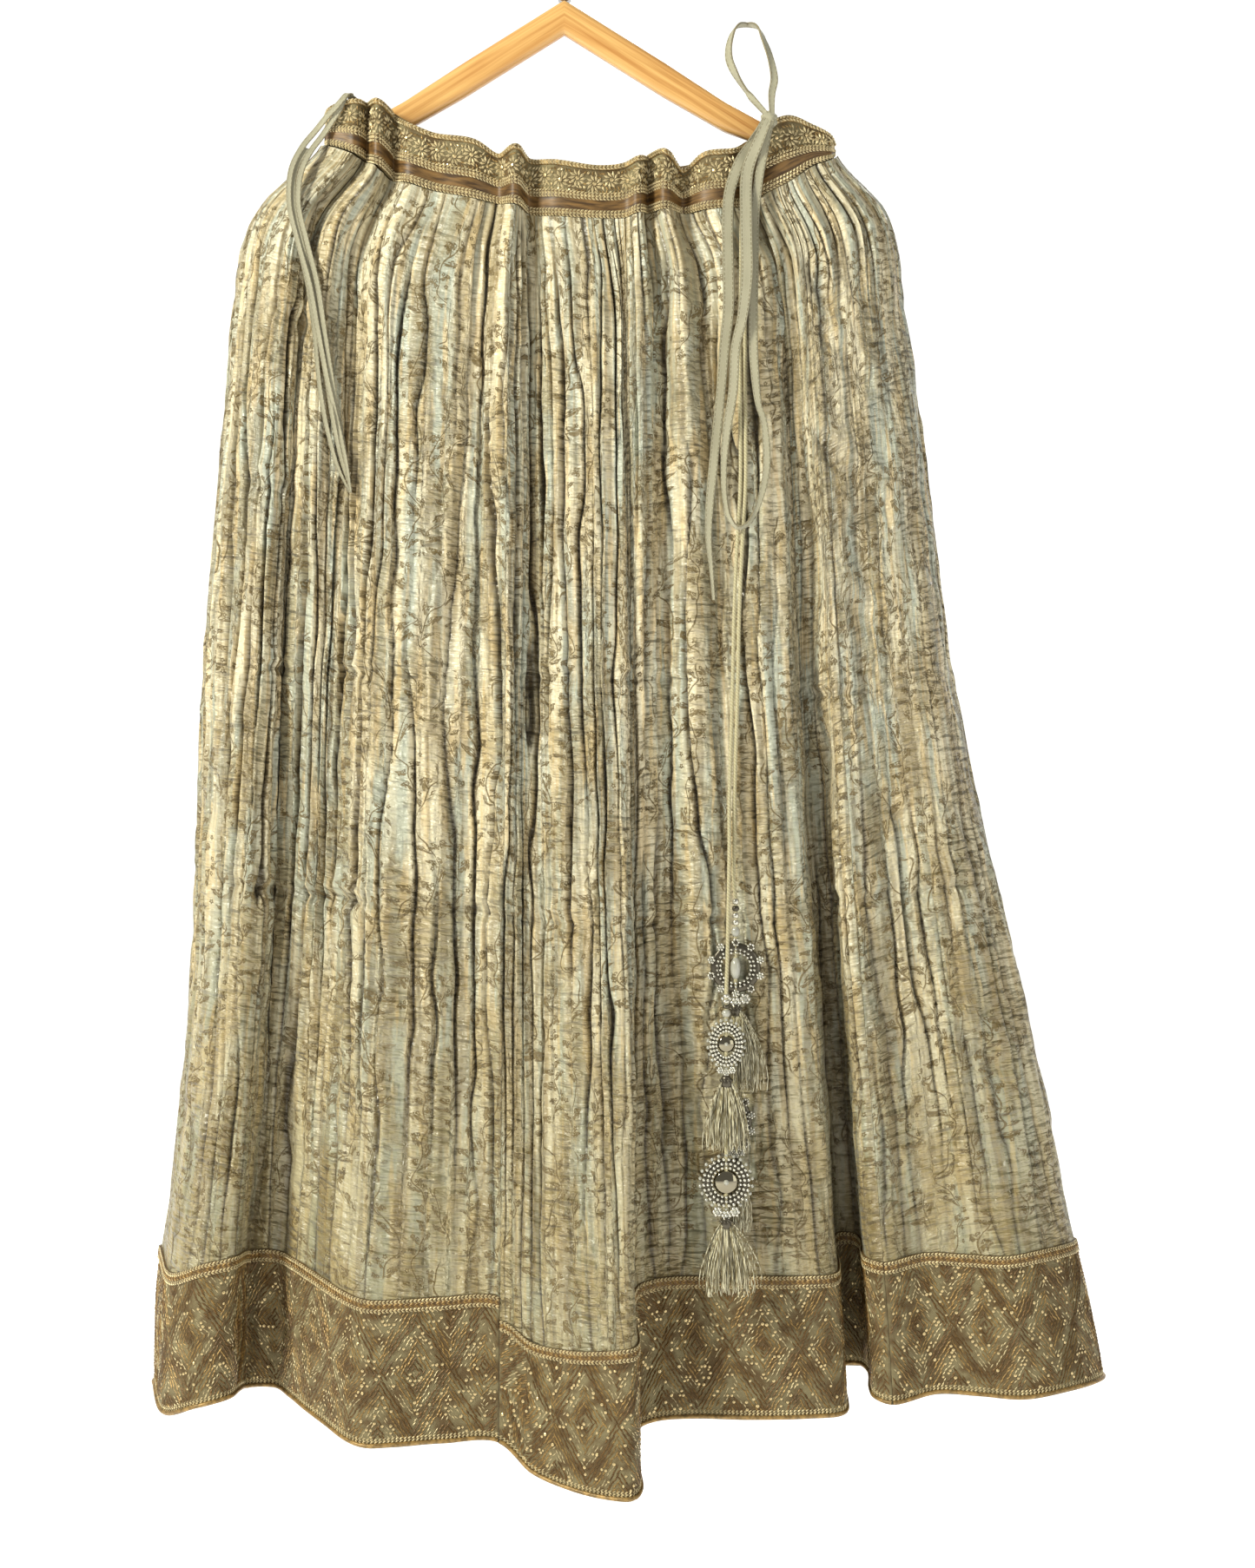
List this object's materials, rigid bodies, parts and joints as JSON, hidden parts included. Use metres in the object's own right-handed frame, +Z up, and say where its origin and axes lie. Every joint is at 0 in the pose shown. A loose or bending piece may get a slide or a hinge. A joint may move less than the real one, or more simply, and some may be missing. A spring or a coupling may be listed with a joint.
{
  "type": "lehenga skirt and hanger",
  "caption": "Crinkle-pleated lehenga skirt with an embroidered hem border and waistband, cloth ties and tasselled cords, hung flat by its waist on a wooden hanger.",
  "frame": {"origin": "inside top of the hanger's hook, where it rests on a rail", "axes": "+Z up, the skirt's front towards -Y, +X to the right as seen from the front"},
  "size_m": [0.7796, 0.2554, 1.2446],
  "materials": {
    "satin": "crinkled satin, soft sheen, block-printed in gold-brown",
    "border_cloth": "embroidered, with small sequins",
    "braid": "chain-stitched metallic braid",
    "piping": "corded piping",
    "band_embroidery": "embroidered, with small sequins",
    "brown_satin": "satin",
    "tie_cloth": "satin, folded and stitched",
    "cord": "thin satin cord",
    "beads": "faceted, glossy",
    "ornament": "silvered, set with beads and a small mirror",
    "floss": "silky floss",
    "hanger_wood": "varnished",
    "hook_metal": "polished wire"
  },
  "bodies": {
    "root": {"skirt_left": "satin", "border_left": "border_cloth", "border_braid_left": "braid", "hem_piping_left": "piping", "skirt_middle": "satin", "border_middle": "border_cloth", "border_braid_middle": "braid", "hem_piping_middle": "piping", "skirt_right": "satin", "border_right": "border_cloth", "border_braid_right": "braid", "hem_piping_right": "piping", "waistband_front": "band_embroidery", "waist_edging_front": "braid", "waist_stripe_front": "brown_satin", "waistband_back": "band_embroidery", "waist_edging_back": "braid", "waist_stripe_back": "brown_satin", "hang_tape_left": "tie_cloth", "tie_right": "tie_cloth", "drawcord_near": "cord", "bead_string_near": "beads", "medallion_near_1": "ornament", "tassel_near_1": "floss", "medallion_near_2": "ornament", "tassel_near_2": "floss", "drawcord_far": "cord", "bead_string_far": "beads", "medallion_far_1": "ornament", "tassel_far_1": "floss", "medallion_far_2": "ornament", "tassel_far_2": "floss", "hanger_wood": "hanger_wood", "hanger_hook": "hook_metal"}
  },
  "joints": []
}
